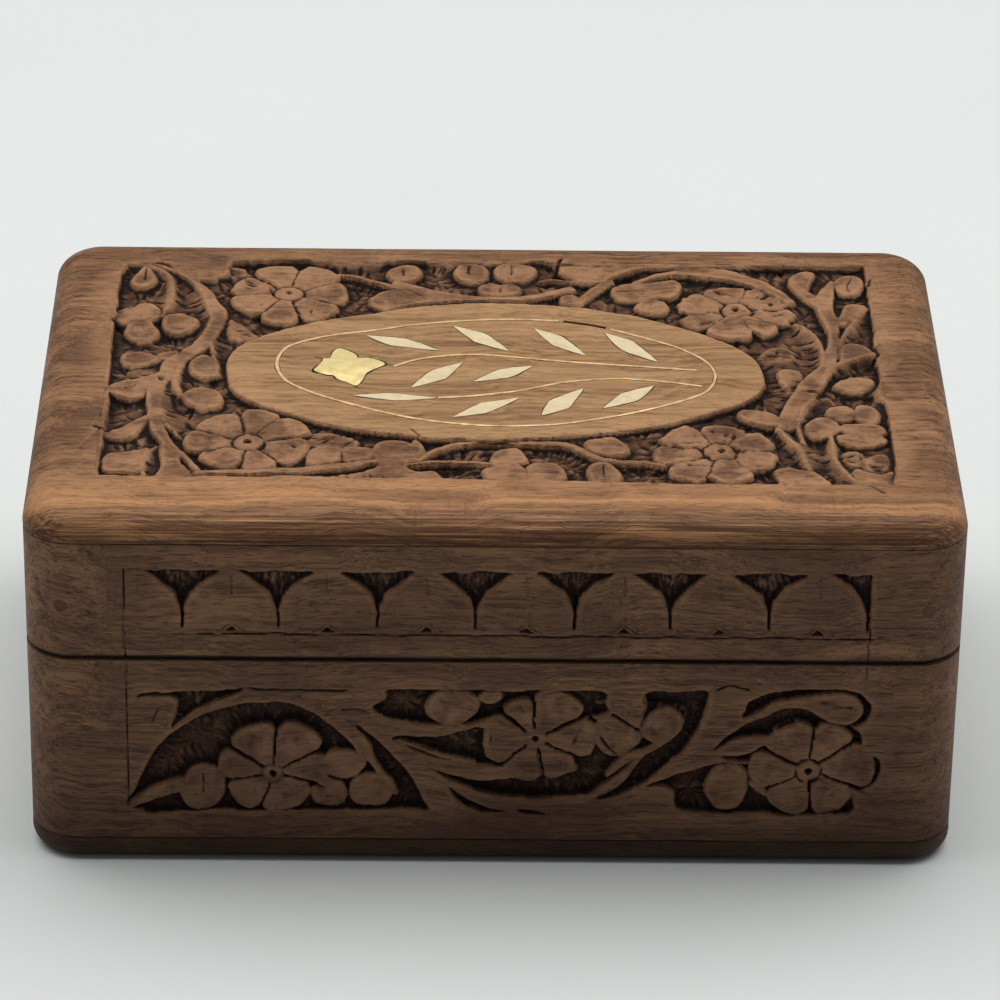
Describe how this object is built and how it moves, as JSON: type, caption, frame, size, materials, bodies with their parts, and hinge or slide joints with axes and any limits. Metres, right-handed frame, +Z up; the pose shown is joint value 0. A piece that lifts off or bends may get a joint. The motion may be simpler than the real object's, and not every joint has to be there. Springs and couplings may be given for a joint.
{
  "type": "jewelry box",
  "caption": "Carved hardwood box with rounded corners, a hinged lid with an inlaid oval, floral relief on every side and a velvet lining.",
  "frame": {"origin": "centre of the bottom face", "axes": "+X to the right along the length, +Y towards the hinges, +Z up"},
  "size_m": [0.152, 0.1014, 0.0645],
  "materials": {
    "rosewood": "satin oil and wax, darker in the carved ground",
    "leaf_inlay": "polished bone, faint warm tint",
    "flower_inlay": "rubbed sheet brass",
    "line_inlay": "rubbed brass wire",
    "brass": "aged, satin",
    "steel": "plain bright steel",
    "filler": "dark wood filler, rubbed flat",
    "velvet": "short pile, wine red"
  },
  "bodies": {
    "base": {"base_back_lining": "velvet", "base_back_wall": "rosewood", "base_floor": "rosewood", "base_floor_pins": "steel", "base_front_lining": "velvet", "base_front_wall": "rosewood", "base_left_lining": "velvet", "base_left_wall": "rosewood", "base_pad": "velvet", "base_right_lining": "velvet", "base_right_wall": "rosewood", "hinge_left_base_leaf": "brass", "hinge_left_base_screws": "brass", "hinge_left_pin": "steel", "hinge_right_base_leaf": "brass", "hinge_right_base_screws": "brass", "hinge_right_pin": "steel"},
    "lid": {"hinge_left_lid_leaf": "brass", "hinge_left_lid_screws": "brass", "hinge_right_lid_leaf": "brass", "hinge_right_lid_screws": "brass", "inlay_leaf_01": "leaf_inlay", "inlay_leaf_02": "leaf_inlay", "inlay_leaf_03": "leaf_inlay", "inlay_leaf_04": "leaf_inlay", "inlay_leaf_05": "leaf_inlay", "inlay_leaf_06": "leaf_inlay", "inlay_leaf_07": "leaf_inlay", "inlay_leaf_08": "leaf_inlay", "inlay_leaf_09": "leaf_inlay", "inlay_leaf_10": "leaf_inlay", "inlay_oval_line": "line_inlay", "inlay_quatrefoil": "flower_inlay", "inlay_stem_lower": "line_inlay", "inlay_stem_upper": "line_inlay", "lid_back_lining": "velvet", "lid_back_wall": "rosewood", "lid_corner_nails": "steel", "lid_front_lining": "velvet", "lid_front_wall": "rosewood", "lid_left_lining": "velvet", "lid_left_wall": "rosewood", "lid_nail_fillers": "filler", "lid_pad": "velvet", "lid_right_lining": "velvet", "lid_right_wall": "rosewood", "lid_top_board": "rosewood"}
  },
  "joints": [
    {"name": "lid_hinge", "type": "hinge", "parent": "base", "child": "lid", "pos_m": [0, 0.04875, 0.0387], "axis": [-1, 0, 0], "range_deg": [0, 100]}
  ]
}
